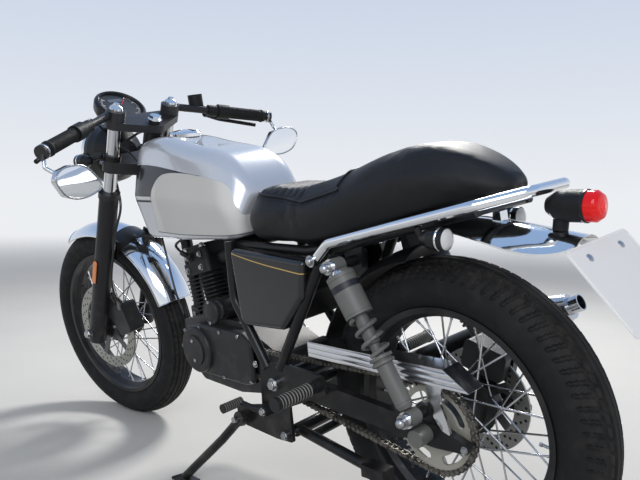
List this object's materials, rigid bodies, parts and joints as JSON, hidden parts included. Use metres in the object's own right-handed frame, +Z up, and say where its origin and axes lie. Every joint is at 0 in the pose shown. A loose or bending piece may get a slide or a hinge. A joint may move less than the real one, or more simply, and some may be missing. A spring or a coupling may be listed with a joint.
{
  "type": "motorcycle",
  "caption": "Cafe racer motorcycle leaning on its side stand: long tank, humped seat, clip-on bars, wire wheels, chain drive, disc brakes and twin shocks.",
  "frame": {"origin": "on the floor below the middle of the machine's overall box, as it leans on its side stand", "axes": "+X forward along the machine, +Y to the rider's left, +Z up"},
  "size_m": [2.0282, 0.848, 1.0441],
  "materials": {
    "frame_paint": "gloss",
    "tank_paint": "gloss",
    "black_gloss": "gloss",
    "black_plastic": "satin",
    "leather": "satin",
    "engine_paint": "satin",
    "alloy": "satin",
    "black_alloy": "satin",
    "chrome": "polished",
    "steel": "brushed",
    "chain_steel": "oiled",
    "spring_steel": "polished",
    "rubber": "matte",
    "tyre": "matte",
    "red_lens": "clear",
    "clear_lens": "clear",
    "plate": "satin"
  },
  "bodies": {
    "chassis": {"frame_main": "frame_paint", "frame_left": "frame_paint", "frame_right": "frame_paint", "seat_frame": "frame_paint", "seat_rail": "chrome", "fuel_tank": "tank_paint", "fuel_cap": "chrome", "seat": "leather", "side_covers": "black_gloss", "battery_box": "black_plastic", "crankcase": "engine_paint", "engine_covers": "engine_paint", "cylinder": "engine_paint", "cylinder_head": "engine_paint", "carburettor": "alloy", "starter_motor": "engine_paint", "exhaust_header": "chrome", "silencer": "chrome", "swingarm": "frame_paint", "pivot_bolts": "steel", "rear_axle": "alloy", "shocks": "alloy", "shock_springs": "spring_steel", "chain": "chain_steel", "chain_guard": "chrome", "rear_caliper": "black_alloy", "footpegs": "rubber", "foot_pedals": "steel", "inner_mudguard": "black_plastic", "tail_fender": "chrome", "tail_lamp": "chrome", "tail_lamp_lens": "red_lens", "licence_plate": "plate", "rear_indicators": "chrome"},
    "steering": {"triple_clamps": "black_alloy", "fork_stanchions": "chrome", "fork_legs": "black_alloy", "front_axle": "steel", "headlamp": "frame_paint", "headlamp_lens": "clear_lens", "instrument": "black_plastic", "clip_ons": "black_alloy", "grips": "rubber", "controls": "black_plastic", "mirrors": "alloy", "front_fender": "chrome", "front_caliper": "black_alloy", "front_indicators": "chrome"},
    "front_wheel": {"front_tyre": "tyre", "front_wheel": "black_alloy", "front_disc": "steel"},
    "rear_wheel": {"rear_tyre": "tyre", "rear_wheel": "black_alloy", "rear_disc": "steel", "rear_sprocket": "steel"},
    "side_stand": {"side_stand": "frame_paint"},
    "centre_stand": {"centre_stand": "frame_paint"}
  },
  "joints": [
    {"name": "steering", "type": "hinge", "parent": "chassis", "child": "steering", "pos_m": [0.38392, 0.02742, 0.88057], "axis": [-0.4105, 0.1347, 0.9019], "range_deg": [-43, 27]},
    {"name": "front_wheel_spin", "type": "hinge", "parent": "steering", "child": "front_wheel", "pos_m": [0.69589, -0.05025, 0.31344], "axis": [-0.1271, 0.9709, -0.2029], "continuous": true},
    {"name": "rear_wheel_spin", "type": "hinge", "parent": "chassis", "child": "rear_wheel", "pos_m": [-0.62867, -0.0577, 0.3122], "axis": [-0.0002, 0.989, -0.1478], "continuous": true},
    {"name": "side_stand", "type": "hinge", "parent": "chassis", "child": "side_stand", "pos_m": [-0.09579, 0.07394, 0.19789], "axis": [0.0001, 0.9986, 0.0523], "range_deg": [0, 115]},
    {"name": "centre_stand", "type": "hinge", "parent": "chassis", "child": "centre_stand", "pos_m": [-0.24378, -0.07262, 0.21188], "axis": [-0.0002, 0.989, -0.1478], "range_deg": [-100, 0]}
  ]
}
